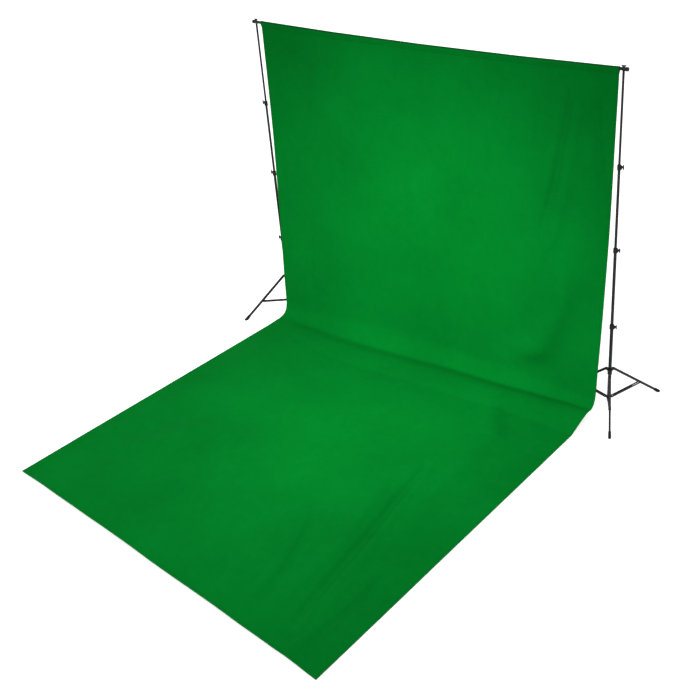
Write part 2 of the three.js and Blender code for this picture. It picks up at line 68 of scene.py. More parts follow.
# ---- Sizes of the hardware, in millimetres ----
GAP = 0.3
TUBE_WALL = 1.2
BAR_RADIUS = 11
BAR_SAG = 20
LEG_RADIUS = 440
LEG_WIDTH = 16
LEG_DEPTH = 18
LEG_BEND = 2.2  # round along a leg's long edges
BRACE_SHARE = 0.57
BRACE_DEPTH = 13
WEB_START = 14
WEB_CLEAR = 66
WEB_THICKNESS = 3
CHEEK = 2
SIDE_GAP = 0.4
CHEEK_IN = LEG_WIDTH / 2 + SIDE_GAP
CHEEK_OUT = CHEEK_IN + CHEEK
PIN_RADIUS = 2.5
STUD_RADIUS = 5
SCREW_RADIUS = 3
THREAD_PITCH = 1.25
BOSS_REACH = 13
TUBE_END_DROP = 10
HEAD_LENGTH = 20  # solid top of the upper riser
PLUG_FLANGE = 4
LOWER_REACH = 24  # hinge pins' distance from the mast's axis
UPPER_REACH = 33
LUG_DEPTH = 12
EAR_DEPTH = 15
SOLE = 4  # rubber left under a leg's end
FOOT_LENGTH = 52
FOOT_WALL = 2
CLAMP_TOP = 14
CLAMP_BOTTOM = -24
SPIGOT = 50
SPIGOT_ROOT = 20
BUTTON_AT = 25
BUTTON_RADIUS = 2.4
BUTTON_PROUD = 1.5
SECTIONS = 4
ROUND = 64  # steps round a tube


# ---- Outlines ----
def arc(centre, radius, start, end, steps):
    """Points on a circle, from one angle to another in degrees."""
    angles = np.radians(np.linspace(start, end, steps + 1))
    return [(centre[0] + radius * math.cos(a), centre[1] + radius * math.sin(a)) for a in angles]


def rounded(points, radius, steps=4, closed=True):
    """A polygon's outline with its corners rounded, as far as its sides leave room."""
    outline = []
    count = len(points)
    for i, point in enumerate(points):
        corner = Vector(point)
        if not closed and i in (0, count - 1):
            outline.append(tuple(corner))
            continue
        before = Vector(points[i - 1]) - corner
        after = Vector(points[(i + 1) % count]) - corner
        room = min(before.length, after.length) * 0.49
        half = before.angle(after) / 2
        reach = min(radius / max(math.tan(half), 1e-6), room)
        if reach < 1e-6 or half > math.radians(89):
            outline.append(tuple(corner))
            continue
        a, b = corner + before.normalized() * reach, corner + after.normalized() * reach
        for k in range(steps + 1):
            t = k / steps
            outline.append(tuple(a * (1 - t) ** 2 + corner * 2 * t * (1 - t) + b * t * t))
    return outline


def stadium(length, depth, steps=10):
    """A strip's outline with round ends, centred on 0 .. length."""
    half = depth / 2
    return arc((0, 0), half, 90, 270, steps) + arc((length, 0), half, -90, 90, steps)


def shifted(outline, distance):
    """An outline moved outwards along its normals; a negative distance moves it inwards."""
    points = np.array(outline)
    ahead, behind = np.roll(points, -1, 0), np.roll(points, 1, 0)
    along = ahead - behind
    along /= np.maximum(np.linalg.norm(along, axis=1), 1e-9)[:, None]
    normals = np.stack([along[:, 1], -along[:, 0]], 1)
    area = np.sum(points[:, 0] * ahead[:, 1] - ahead[:, 0] * points[:, 1])
    return [tuple(p) for p in points + normals * distance * np.sign(area)]


# ---- Shells: (vertices, faces) in millimetres ----
def turned(profile, steps=ROUND):
    """A closed profile of (radius, height) turned about Z. Points on the axis become poles."""
    verts, rows = [], []
    for radius, height in profile:
        if radius < 1e-6:
            rows.append([len(verts)] * steps)
            verts.append((0, 0, height))
            continue
        rows.append(list(range(len(verts), len(verts) + steps)))
        for k in range(steps):
            a = 2 * math.pi * k / steps
            verts.append((radius * math.cos(a), radius * math.sin(a), height))
    faces = []
    for i, row in enumerate(rows):
        following = rows[(i + 1) % len(rows)]
        if row[0] == row[-1] and following[0] == following[-1]:
            continue
        for k in range(steps):
            face = [row[k], row[(k + 1) % steps], following[(k + 1) % steps], following[k]]
            faces.append([v for j, v in enumerate(face) if v not in face[:j]])
    return verts, faces


def barrel(profile, steps=ROUND):
    """A solid turned piece: the profile's first and last points are joined to the axis."""
    return turned([(0, profile[0][1]), *profile, (0, profile[-1][1])], steps)


def pipe(outer, inner, low, high, lip=0.35, steps=ROUND):
    """A tube with rounded ends."""
    return turned(rounded([(inner, high), (inner, low), (outer, low), (outer, high)], lip, 3), steps)


def plate(outline, thickness, bevel=0.5, holes=(), steps=3):
    """An outline in XZ, thickened about y = 0, with round edges."""
    levels = []
    for k in range(steps + 1):
        a = math.pi / 2 * k / steps
        levels.append((-thickness / 2 + bevel * (1 - math.sin(a)), -bevel * (1 - math.cos(a))))
    sides = sorted(levels) + sorted((-y, inset) for y, inset in levels)
    verts, faces = [], []
    loops = [outline, *holes]
    starts = []
    for index, loop in enumerate(loops):
        start = len(verts)
        starts.append(start)
        count = len(loop)
        for y, inset in sides:
            ring = shifted(loop, inset if index == 0 else -inset)
            verts += [(x, y, z) for x, z in ring]
        for level in range(len(sides) - 1):
            for k in range(count):
                a = start + level * count + k
                b = start + level * count + (k + 1) % count
                faces.append([a, b, b + count, a + count])
    for level in (0, len(sides) - 1):
        rings, lookup = [], []
        for start, loop in zip(starts, loops):
            first = start + level * len(loop)
            rings.append([Vector(verts[first + k]) for k in range(len(loop))])
            lookup += range(first, first + len(loop))
        for triangle in geometry.tessellate_polygon(rings):
            faces.append([lookup[v] for v in triangle])
    return verts, faces


def loft(rings, capped=True):
    """A skin over rings of equally many points."""
    count = len(rings[0])
    verts = [tuple(p) for ring in rings for p in ring]
    faces = []
    for i in range(len(rings) - 1):
        for k in range(count):
            a, b = i * count + k, i * count + (k + 1) % count
            faces.append([a, b, b + count, a + count])
    if capped:
        faces.append(list(range(count)))
        faces.append(list(range(len(verts) - count, len(verts))))
    return verts, faces


def moved(shell, *matrices):
    """A shell after each matrix in turn."""
    verts, faces = shell
    for matrix in matrices:
        verts = [tuple(matrix @ Vector(v)) for v in verts]
    return verts, faces


def shift(x=0, y=0, z=0):
    return Matrix.Translation((x, y, z))


def turn(degrees, axis):
    return Matrix.Rotation(math.radians(degrees), 4, axis)


TO_X = turn(90, "Y")  # +Z becomes +X
TO_Y = turn(-90, "X")  # +Z becomes +Y


def dome(radius, height, steps=4):
    """The profile of a domed rivet head that stands on z = 0."""
    return [(radius, 0)] + [
        (radius * math.cos(a), height * math.sin(a))
        for a in np.linspace(math.radians(15), math.radians(85), steps)
    ]


def rivet(half_length, radius=PIN_RADIUS, head=4.2, rise=1.2):
    """A pin along Y with a domed head at each end."""
    pin = barrel([(radius, -half_length), (radius, half_length)], 20)
    cap = barrel(dome(head, rise), 24)
    return [
        moved(pin, TO_Y),
        moved(cap, shift(z=half_length), TO_Y),
        moved(cap, shift(z=half_length), TO_Y, turn(180, "Z")),
    ]


def screw(radius, low, high, steps=20):
    """A threaded rod along Z: its profile rises and falls with each turn."""
    turns = max(2, round((high - low) / THREAD_PITCH))
    profile = [(radius - 0.9, low)]
    for k in range(turns):
        z = low + (high - low) * (k + 0.25) / turns
        profile += [(radius - 0.55, z), (radius, z + (high - low) * 0.35 / turns)]
    profile.append((radius - 0.9, high))
    return barrel(profile, steps)


# ---- Pieces ----
def add_object(name, data):
    made = bpy.data.objects.new(name, data)
    bpy.context.scene.collection.objects.link(made)
    return made


def make_piece(name, shells, place, body, nodes, material, smooth=35):
    """One Blender object from shells in millimetres, riding on a body in place of CAD nodes."""
    verts, faces = [], []
    for shell_verts, shell_faces in shells:
        first = len(verts)
        verts += [tuple(place @ (Vector(v) * MM)) for v in shell_verts]
        faces += [[first + v for v in face] for face in shell_faces]
    mesh = bpy.data.meshes.new(name)
    mesh.from_pydata(verts, [], faces)
    piece = add_object(name, mesh)
    outward(mesh)
    mesh.shade_smooth()
    mesh.set_sharp_from_angle(angle=math.radians(smooth))
    mesh.materials.append(material)
    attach(piece, body)
    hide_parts(*nodes)
    return piece


def outward(mesh):
    """Turns each closed shell's faces to point out."""
    cage = bmesh.new()
    cage.from_mesh(mesh)
    bmesh.ops.recalc_face_normals(cage, faces=cage.faces)
    cage.to_mesh(mesh)
    cage.free()


def radius_of(node):
    low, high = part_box(node)
    return (high.y - low.y) / 2 / MM


def heights_of(node):
    low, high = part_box(node)
    return low.z / MM, high.z / MM


def mast_axis(side):
    low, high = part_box(f"{side}_base_tube")
    return (low + high) / 2


def mast_frame(side, height=0.0, azimuth=0.0):
    """A frame on a mast's axis, at a height in millimetres, with +X at an azimuth in degrees."""
    middle = mast_axis(side)
    return shift(middle.x, middle.y, height * MM) @ turn(azimuth, "Z")


def joint_height(name):
    return JOINTS[name]["pos_m"][2] / MM


def azimuth_of(name, sign):
    """The direction in which a hinge's leg or brace points away from the mast."""
    x, y, _ = JOINTS[name]["axis"]
    return math.degrees(math.atan2(-sign * x, sign * y))


# ---- Materials ----
def new_material(name):
    material = bpy.data.materials.new(name)
    material.use_nodes = True
    tree = material.node_tree
    shader = tree.nodes["Principled BSDF"]
    return material, tree, shader


def node(tree, kind, settings=None, **inputs):
    """A node with its settings, and its inputs as numbers, colours or other nodes' outputs."""
    made = tree.nodes.new("ShaderNode" + kind)
    for key, value in (settings or {}).items():
        setattr(made, key, value)
    for key, value in inputs.items():
        socket = made.inputs[int(key[1:])] if key[1:].isdigit() else made.inputs[key.replace("_", " ")]
        if isinstance(value, bpy.types.NodeSocket):
            tree.links.new(value, socket)
        else:
            socket.default_value = value
    return made


def noise_of(tree, where, scale, detail=2.0, roughness=0.5):
    made = node(tree, "TexNoise", None, Vector=where, Scale=scale, Detail=detail, Roughness=roughness)
    return made.outputs[0]


def ramp(tree, value, low, high, to_low, to_high):
    """A number mapped from one range to another and held inside it."""
    made = node(tree, "MapRange", None, Value=value)
    for socket, number in zip(("From Min", "From Max", "To Min", "To Max"), (low, high, to_low, to_high)):
        made.inputs[socket].default_value = number
    return made.outputs[0]


def calc(tree, operation, a, b=0.0, c=0.0):
    made = node(tree, "Math", {"operation": operation}, _0=a, _1=b, _2=c)
    return made.outputs[0]


def blend_colour(tree, share, a, b):
    made = node(tree, "Mix", {"data_type": "RGBA"}, _0=share, _6=a, _7=b)
    return made.outputs[2]


def grey(value):
    return (value, value, value * 1.04, 1)


def bump(tree, shader, height, strength, distance, under=None):
    made = node(tree, "Bump", None, Height=height, Strength=strength, Distance=distance)
    if under is not None:
        tree.links.new(under, made.inputs["Normal"])
    tree.links.new(made.outputs[0], shader.inputs["Normal"])
    return made.outputs[0]


def stretched(tree, where, x, y, z):
    return node(tree, "Mapping", None, Vector=where, Scale=(x, y, z)).outputs[0]


def surface(tree, shader, colour, roughness, specular=None):
    """Sets a shader's colour and roughness from nodes and, where given, how much it reflects."""
    tree.links.new(colour, shader.inputs["Base Color"])
    tree.links.new(roughness, shader.inputs["Roughness"])
    if specular is not None:
        shader.inputs["Specular IOR Level"].default_value = specular


def worn_edges(tree, low, high, amount):
    """More along sharp outer edges, where paint and plating rub off."""
    return ramp(tree, node(tree, "NewGeometry").outputs["Pointiness"], low, high, 0, amount)


def tube_material():
    """Black anodised aluminium: satin, with fine lengthwise draw lines and faint handling marks."""
    material, tree, shader = new_material("black_tube")
    where = node(tree, "TexCoord").outputs["Object"]
    lines = noise_of(tree, stretched(tree, where, 1400, 1400, 18), 1.0, 3.0)
    clouds = noise_of(tree, where, 9.0, 3.0)
    marks = ramp(tree, noise_of(tree, stretched(tree, where, 160, 160, 22), 1.0, 5.0, 0.7), 0.62, 0.76, 0, 1)
    worn = calc(tree, "MAXIMUM", calc(tree, "MULTIPLY", marks, 0.25), worn_edges(tree, 0.53, 0.6, 0.6))
    colour = blend_colour(tree, clouds, grey(0.006), grey(0.011))
    colour = blend_colour(tree, worn, colour, grey(0.05))
    rough = calc(tree, "MULTIPLY_ADD", lines, 0.16, 0.24)
    surface(tree, shader, colour, calc(tree, "MULTIPLY_ADD", clouds, 0.12, rough), 0.2)
    bump(tree, shader, lines, 0.12, 0.0002)
    return material


def plastic_material():
    """Moulded black nylon: a fine spark texture, a little paler along worn edges."""
    material, tree, shader = new_material("black_plastic")
    where = node(tree, "TexCoord").outputs["Object"]
    grain = noise_of(tree, where, 1500.0, 2.0)
    clouds = noise_of(tree, where, 40.0, 3.0)
    colour = blend_colour(tree, clouds, grey(0.005), grey(0.009))
    colour = blend_colour(tree, worn_edges(tree, 0.52, 0.6, 0.7), colour, grey(0.03))
    surface(tree, shader, colour, calc(tree, "MULTIPLY_ADD", grain, 0.2, 0.42), 0.18)
    bump(tree, shader, grain, 0.35, 0.0003)
    return material


def rubber_material():
    """Black rubber with a dry bloom and floor dust on its sole."""
    material, tree, shader = new_material("black_rubber")
    place = node(tree, "TexCoord").outputs["Object"]
    grain = noise_of(tree, place, 900.0, 4.0, 0.6)
    clouds = noise_of(tree, place, 60.0, 4.0)
    height = node(tree, "SeparateXYZ", None, Vector=place).outputs[2]
    low = ramp(tree, height, 0.0, 0.012, 0.5, 0.05)
    dust = calc(tree, "MULTIPLY", low, clouds)
    colour = blend_colour(tree, dust, grey(0.006), grey(0.06))
    surface(tree, shader, colour, calc(tree, "MULTIPLY_ADD", clouds, 0.2, 0.7), 0.15)
    bump(tree, shader, grain, 0.4, 0.0004)
    return material


def nut_material():
    """Blackened cast steel with bright worn edges."""
    material, tree, shader = new_material("black_steel")
    where = node(tree, "TexCoord").outputs["Object"]
    clouds = noise_of(tree, where, 120.0, 4.0)
    colour = blend_colour(tree, clouds, grey(0.008), grey(0.014))
    colour = blend_colour(tree, worn_edges(tree, 0.53, 0.62, 0.5), colour, grey(0.08))
    surface(tree, shader, colour, calc(tree, "MULTIPLY_ADD", clouds, 0.2, 0.3))
    bump(tree, shader, noise_of(tree, where, 700.0, 3.0), 0.3, 0.0004)
    return material


def steel_material():
    """Bare zinc-plated steel with fine brushing."""
    material, tree, shader = new_material("bare_steel")
    where = node(tree, "TexCoord").outputs["Object"]
    lines = noise_of(tree, stretched(tree, where, 60, 2200, 2200), 1.0, 2.0)
    colour = blend_colour(tree, lines, grey(0.46), grey(0.62))
    surface(tree, shader, colour, calc(tree, "MULTIPLY_ADD", lines, 0.2, 0.22))
    shader.inputs["Metallic"].default_value = 1.0
    bump(tree, shader, lines, 0.15, 0.0002)
    return material


# ---- Stands ----
def tube_piece(side, level, body):
    """One of a mast's tubes, with its bore."""
    name = f"{side}_{level}"
    low, high = heights_of(name)
    radius = radius_of(name)
    shells = [pipe(radius, radius - TUBE_WALL, low, high)]
    make_piece(f"{name}_piece", shells, mast_frame(side), body, [name], TUBE)


def top_riser_piece(side):
    """The top tube, closed by a turned head that carries the bar's stud."""
    name = f"{side}_upper_riser"
    low, high = heights_of(name)
    radius = radius_of(name)
    shoulder = bar_height() - BAR_RADIUS - 2 * GAP
    root = shoulder - HEAD_LENGTH
    head = [(STUD_RADIUS - 1, root), (radius, root), (radius, shoulder)]
    head = rounded(head, 0.6, 3, False)
    shells = [
        pipe(radius, radius - TUBE_WALL, low, shoulder - 2),
        barrel([*head, (radius - 1, shoulder)]),
        screw(STUD_RADIUS, shoulder - 1, high, 28),
    ]
    make_piece(f"{name}_piece", shells, mast_frame(side), name, [name], TUBE)


def plug_piece(side):
    """The cap in the base tube's lower end."""
    name = f"{side}_bottom_plug"
    low, high = heights_of(name)
    radius = radius_of(f"{side}_base_tube")
    inner = radius - TUBE_WALL - GAP
    flange = low + PLUG_FLANGE
    rim = [(0.5, low), (radius, low), (radius, flange), (inner, flange), (inner, high)]
    rim = rounded(rim, 0.9, 3, False)
    make_piece(f"{name}_piece", [barrel(rim)], mast_frame(side), "root", [name], PLASTIC)


def bar_height():
    return heights_of("left_wing_nut")[0] - BAR_RADIUS - 2 * GAP


def boss(bore, start, reach, radius=7.0):
    """A hollow boss along +X with a raised rim round its bore."""
    profile = [
        (bore, reach - 2), (bore, start), (radius + 0.6, start), (radius, reach - 1.5),
        (radius - 0.8, reach), (bore + 1.6, reach), (bore + 1.2, reach - 0.8),
    ]
    return moved(turned(rounded(profile, 0.5, 3), 32), TO_X)


def ribs(radius, low, high, count, skip, proud=0.55):
    """Upright grip ribs round a collar, except near +X, where its boss is."""
    rib = barrel(rounded([(0.2, low), (0.95, low + 1), (0.95, high - 1), (0.2, high)], 0.5, 2, False), 10)
    made = []
    for k in range(count):
        angle = 360 * (k + 0.5) / count
        if min(angle, 360 - angle) > skip:
            made.append(moved(rib, shift(x=radius - 0.95 + proud), turn(angle, "Z")))
    return made


def web(length, depth, width, bevel=0.6):
    """A small rib plate from x = 0 outwards, centred on y and z."""
    corners = [(0, -depth / 2), (length, -depth / 2), (length, depth / 2), (0, depth / 2)]
    return plate(rounded(corners, 1.2), width, bevel)


def radius_below(side, index):
    """The radius of the tube that a clamp stands on."""
    return radius_of(f"{side}_" + ("base_tube" if index == 0 else f"{RISERS[index - 1]}_riser"))


def clamp_frame(side, level):
    return mast_frame(side, joint_height(f"{side}_{level}_knob_turn"), outward_azimuth(side))


def clamp_piece(side, level, index, body):
    """A moulded collar that grips the tube above it: stepped, ribbed, with a screw boss."""
    name = f"{side}_{level}_clamp"
    below = radius_below(side, index)
    above = radius_of(f"{side}_{level}_riser")
    step = -TUBE_END_DROP + GAP
    profile = [
        (above + GAP, CLAMP_TOP), (above + GAP, step), (below + GAP, step), (below + GAP, CLAMP_BOTTOM),
        (below + 3.1, CLAMP_BOTTOM), (below + 4.5, CLAMP_BOTTOM + 2), (below + 4.5, CLAMP_BOTTOM + 5),
        (below + 3.9, CLAMP_BOTTOM + 6), (below + 3.9, 5), (below + 4.5, 6), (below + 4.5, CLAMP_TOP - 4),
        (above + 3.4, CLAMP_TOP),
    ]
    shells = [turned(rounded(profile, 0.6, 3))]
    shells += ribs(below + 3.9, CLAMP_BOTTOM + 7, 4, 26, 38)
    shells.append(boss(SCREW_RADIUS + GAP, above + 2, below + BOSS_REACH))
    shells.append(moved(web(below + BOSS_REACH - 3 - above, 27, 2.6), shift(x=above + 2, z=-3.5)))
    place = clamp_frame(side, level)
    make_piece(f"{name}_piece", shells, place, body, [name], PLASTIC)


def outward_azimuth(side):
    return 180 if side == "left" else 0


def wing_outline(half, end):
    """A thumb knob's outline: two round ends with a slightly drawn-in waist."""
    top = arc((0, half), end, 0, 180, 12)
    bottom = arc((0, -half), end, 180, 360, 12)
    return top + [(-end + 1, 0)] + bottom + [(end - 1, 0)]


def knob_shells(tube_radius):
    """A thumb knob along +X: a turned hub with a dimpled end and a soft-edged wing; knob_piece adds its
    screw.
    """
    head = tube_radius_to_head(tube_radius)
    hub = rounded([(1, 0), (7.5, 0), (7.5, 3.5), (6.8, 4.5), (6.8, 8.2), (5.2, 9), (1, 9)], 0.8, 3, False)
    dimple = rounded([(1, 11.9), (4.6, 11.9), (4.6, 9)], 0.7, 3, False)
    wing = moved(plate(wing_outline(12, 5), 7, 1.7, steps=5), turn(90, "Z"), shift(x=8.5))
    return [
        moved(wing, shift(x=head)),
        moved(barrel(hub, 40), TO_X, shift(x=head)),
        moved(barrel(dimple[::-1], 32), TO_X, shift(x=head)),
    ]


def tube_radius_to_head(tube_radius):
    """Where a knob's head starts: past its boss, which stands on the tube below."""
    return tube_radius + BOSS_REACH + GAP


def knob_piece(side, level, body, seat_radius, tip_radius, place):
    name = f"{side}_{level}_knob"
    shells = knob_shells(seat_radius)
    head = tube_radius_to_head(seat_radius)
    shells.append(moved(screw(SCREW_RADIUS, tip_radius + GAP, head + 2), TO_X))
    make_piece(f"{name}_piece", shells, place, body, [name], PLASTIC)


def lower_collar_piece(side):
    """The fixed collar near the foot of the mast, with a pinned lug for each brace."""
    name = f"{side}_lower_collar"
    radius = radius_of(f"{side}_base_tube")
    bore = radius + GAP
    profile = [
        (bore, 12), (bore, -12), (radius + 3.2, -12), (radius + 4, -11), (radius + 4, -7.5),
        (radius + 3.4, -7), (radius + 3.4, 7), (radius + 4, 7.5), (radius + 4, 11), (radius + 3.2, 12),
    ]
    shells = [turned(rounded(profile, 0.5, 3))]
    for index in (1, 2, 3):
        joint = f"{side}_brace_{index}_hinge"
        spin = turn(azimuth_of(joint, -1), "Z")
        root = radius + 1 + LUG_DEPTH / 2
        lug = plate(stadium(LOWER_REACH - root, LUG_DEPTH), LEG_WIDTH, 1.0)
        shells.append(moved(lug, shift(x=root), spin))
        for part in rivet(CHEEK_OUT + GAP, PIN_RADIUS, 3.5, 1.3):
            shells.append(moved(part, shift(x=LOWER_REACH), spin))
    place = mast_frame(side, joint_height(f"{side}_brace_1_hinge"))
    make_piece(f"{name}_piece", shells, place, "root", [name], PLASTIC)


def upper_collar_piece(side):
    """The sliding collar: a ribbed sleeve with two ears for each leg and a boss for its knob."""
    name = f"{side}_upper_collar"
    radius = radius_of(f"{side}_base_tube")
    bore = radius + GAP
    profile = [
        (bore, 8), (bore, -40), (bore + 3.2, -40), (bore + 4, -39), (bore + 4, -35), (bore + 3.4, -34),
        (bore + 3.4, -13), (bore + 4, -10), (bore + 9.5, -6), (bore + 9.5, 7), (bore + 8.5, 8),
    ]
    knob = f"{side}_collar_knob_turn"
    knob_azimuth = math.degrees(math.atan2(JOINTS[knob]["axis"][1], JOINTS[knob]["axis"][0]))
    height = joint_height(f"{side}_leg_1_hinge")
    drop = joint_height(knob) - height
    shells = [turned(rounded(profile, 0.7, 3))]
    spin = turn(knob_azimuth, "Z")
    for rib in ribs(bore + 3.4, -33, -14, 24, 36):
        shells.append(moved(rib, spin))
    shells.append(moved(boss(SCREW_RADIUS + GAP, bore + 1, radius + BOSS_REACH), spin, shift(z=drop)))
    for index in (1, 2, 3):
        spoke = turn(azimuth_of(f"{side}_leg_{index}_hinge", 1), "Z")
        ear = plate(stadium(UPPER_REACH - radius - 2, EAR_DEPTH), CHEEK, 0.5)
        for across in (-1, 1):
            middle = across * (CHEEK_IN + CHEEK_OUT) / 2
            shells.append(moved(ear, shift(x=radius + 2, y=middle), spoke))
        for part in rivet(CHEEK_OUT, PIN_RADIUS, 3.6, 1.3):
            shells.append(moved(part, shift(x=UPPER_REACH), spoke))
    seat = mast_frame(side, height)
    make_piece(f"{name}_piece", shells, seat, f"{side}_collar", [name], PLASTIC)
    place = mast_frame(side, height + drop, knob_azimuth)
    knob_piece(side, "collar", f"{side}_collar_knob", radius, radius, place)


def leg_place(side, index):
    """A leg's frame: X along the leg from its hinge, Y along the hinge."""
    joint = f"{side}_leg_{index}_hinge"
    height = joint_height(joint)
    slope = math.degrees(math.atan2(height, LEG_RADIUS - UPPER_REACH))
    place = mast_frame(side, 0, azimuth_of(joint, 1)) @ shift(UPPER_REACH * MM, 0, height * MM)
    return place @ turn(slope, "Y"), math.hypot(height, LEG_RADIUS - UPPER_REACH), slope


def pin_hole():
    return arc((0, 0), PIN_RADIUS + GAP, 360, 20, 17)


def leg_piece(side, index):
    """A flat tube leg with round edges and an eyelet round its hinge pin."""
    name = f"{side}_leg_{index}"
    place, length, slope = leg_place(side, index)
    half = LEG_DEPTH / 2
    reach = length - half / math.tan(math.radians(slope)) - SOLE - half
    outline = arc((0, 0), half, 90, 270, 16)
    outline += rounded([(0, -half), (reach, -half), (reach, half), (0, half)], 2)[6:-6]
    shells = [plate(outline, LEG_WIDTH, LEG_BEND, [pin_hole()], 5)]
    make_piece(f"{name}_piece", shells, place, name, [name], TUBE)


def boot_ring(x, half_depth, half_width):
    signs = [(-1, -1), (1, -1), (1, 1), (-1, 1)]
    corners = [(across * half_width, up * half_depth) for across, up in signs]
    return [(x, y, z) for y, z in rounded(corners, min(half_depth, half_width) * 0.62, 5)]


def foot_piece(side, index):
    """A rubber boot: an open sleeve with a lip, three ribs, and a round nose that stands flat."""
    name = f"{side}_foot_{index}"
    place, length, _ = leg_place(side, index)
    wall = FOOT_WALL
    depth, width = LEG_DEPTH / 2 + GAP, LEG_WIDTH / 2 + GAP
    start = length - FOOT_LENGTH
    stations = [(start + 6, 0.0), (start + 0.6, 0.0), (start, 0.8)]
    stations += [(start + 0.3, wall - 0.7), (start + 2, wall)]
    proud = wall + 0.5
    for rib in (8, 15, 22):
        rises = [(-2, wall), (-1.2, proud), (1.2, proud), (2, wall)]
        stations += [(start + rib + along, extra) for along, extra in rises]
    stations += [(start + 30, wall + 0.2), (start + 40, proud)]
    nose = 26
    for k in range(9):
        angle = math.radians(88) * k / 8
        drawn_in = (1 - math.cos(angle)) * (width + wall)
        stations.append((start + 46 + nose * 0.5 * math.sin(angle), proud - drawn_in))
    rings = [boot_ring(x, depth + extra, max(width + extra, 0.4)) for x, extra in stations]
    verts, faces = loft(rings)
    floor = []
    lift = place.translation.z / MM
    for vertex in verts:
        high = (place.to_3x3() @ Vector(vertex)).z + lift
        down = place.to_3x3().inverted() @ Vector((0, 0, min(high, 0)))
        floor.append(tuple(Vector(vertex) - down))
    leg = f"{side}_leg_{index}"
    make_piece(f"{name}_piece", [(floor, faces)], place, leg, [name], RUBBER)


def brace_piece(side, index):
    """Two strips that straddle the leg, joined by a web, with domed rivets at the leg."""
    name = f"{side}_brace_{index}"
    joint = f"{name}_hinge"
    leg_height = joint_height(f"{side}_leg_{index}_hinge")
    height = joint_height(joint)
    run = UPPER_REACH + BRACE_SHARE * (LEG_RADIUS - UPPER_REACH) - LOWER_REACH
    rise = leg_height * (1 - BRACE_SHARE) - height
    length = math.hypot(run, rise)
    strip = plate(stadium(length, BRACE_DEPTH), CHEEK, 0.6, [pin_hole()])
    middle = (CHEEK_IN + CHEEK_OUT) / 2
    shells = [moved(strip, shift(y=across * middle)) for across in (-1, 1)]
    outer_end, half = length - WEB_CLEAR, WEB_THICKNESS / 2
    corners = [(WEB_START, -half), (outer_end, -half), (outer_end, half), (WEB_START, half)]
    shells.append(plate(rounded(corners, 0.6), 2 * CHEEK_OUT - 2, 0.3))
    inner = LEG_WIDTH / 2 + GAP
    head = barrel([(3.2, inner), (3.2, CHEEK_OUT), *[(r, CHEEK_OUT + z) for r, z in dome(4.4, 1.4)]], 28)
    for across in (TO_Y, turn(90, "X")):
        shells.append(moved(head, across, shift(x=length)))
    place = mast_frame(side, 0, azimuth_of(joint, -1)) @ shift(LOWER_REACH * MM, 0, height * MM)
    place = place @ turn(-math.degrees(math.atan2(rise, run)), "Y")
    make_piece(f"{name}_piece", shells, place, name, [name], TUBE)


def wing_nut_piece(side):
    """A wing nut with a cone hub and two upswept ears."""
    name = f"{side}_wing_nut"
    bore = STUD_RADIUS + GAP
    hub = [(bore, 9), (bore, 0), (9.4, 0), (10, 0.7), (9.6, 2.6), (7.8, 9)]
    shells = [turned(rounded(hub, 0.7, 3), 40)]
    ear = plate(stadium(8, 9), 3, 1.0, steps=4)
    for spin in (0, 180):
        shells.append(moved(ear, turn(-45, "Y"), shift(x=7.5, z=5.5), turn(spin, "Z")))
    place = mast_frame(side, heights_of(name)[0])
    make_piece(f"{name}_piece", shells, place, name, [name], NUT)


def stand_pieces(side):
    tube_piece(side, "base_tube", "root")
    tube_piece(side, "lower_riser", f"{side}_lower_riser")
    tube_piece(side, "middle_riser", f"{side}_middle_riser")
    top_riser_piece(side)
    plug_piece(side)
    lower_collar_piece(side)
    upper_collar_piece(side)
    wing_nut_piece(side)
    carriers = ["root", f"{side}_lower_riser", f"{side}_middle_riser"]
    for index, level in enumerate(RISERS):
        clamp_piece(side, level, index, carriers[index])
        below, above = radius_below(side, index), radius_of(f"{side}_{level}_riser")
        knob_piece(side, level, f"{side}_{level}_knob", below, above, clamp_frame(side, level))
    for index in (1, 2, 3):
        leg_piece(side, index)
        foot_piece(side, index)
        brace_piece(side, index)


# ---- Crossbar ----
def bar_joints():
    """Where the bar's sections start, and where the last one ends, in millimetres along X."""
    starts = [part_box(f"crossbar_section_{i + 1}")[0].x / MM for i in range(SECTIONS)]
    return [*starts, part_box(f"crossbar_section_{SECTIONS}")[1].x / MM]


def bar_axis_height(x):
    """Height of the bar's axis in millimetres, on straight sections along a shallow sag."""
    joints = bar_joints()
    half = (mast_axis("right").x - mast_axis("left").x) / 2 / MM
    middle = (joints[0] + joints[-1]) / 2
    heights = [bar_height() - BAR_SAG * (1 - ((j - middle) / half) ** 2) for j in joints]
    return float(np.interp(x, joints, heights))


def bar_pieces():
    joints = bar_joints()
    depth = mast_axis("left").y
    for i in range(SECTIONS):
        x0, x1 = joints[i], joints[i + 1]
        z0, z1 = bar_axis_height(x0), bar_axis_height(x1)
        length = math.hypot(x1 - x0, z1 - z0)
        slope = math.degrees(math.atan2(z1 - z0, x1 - x0))
        place = shift(x0 * MM, depth, z0 * MM) @ turn(-slope, "Y")
        bar_section(i, length, place)


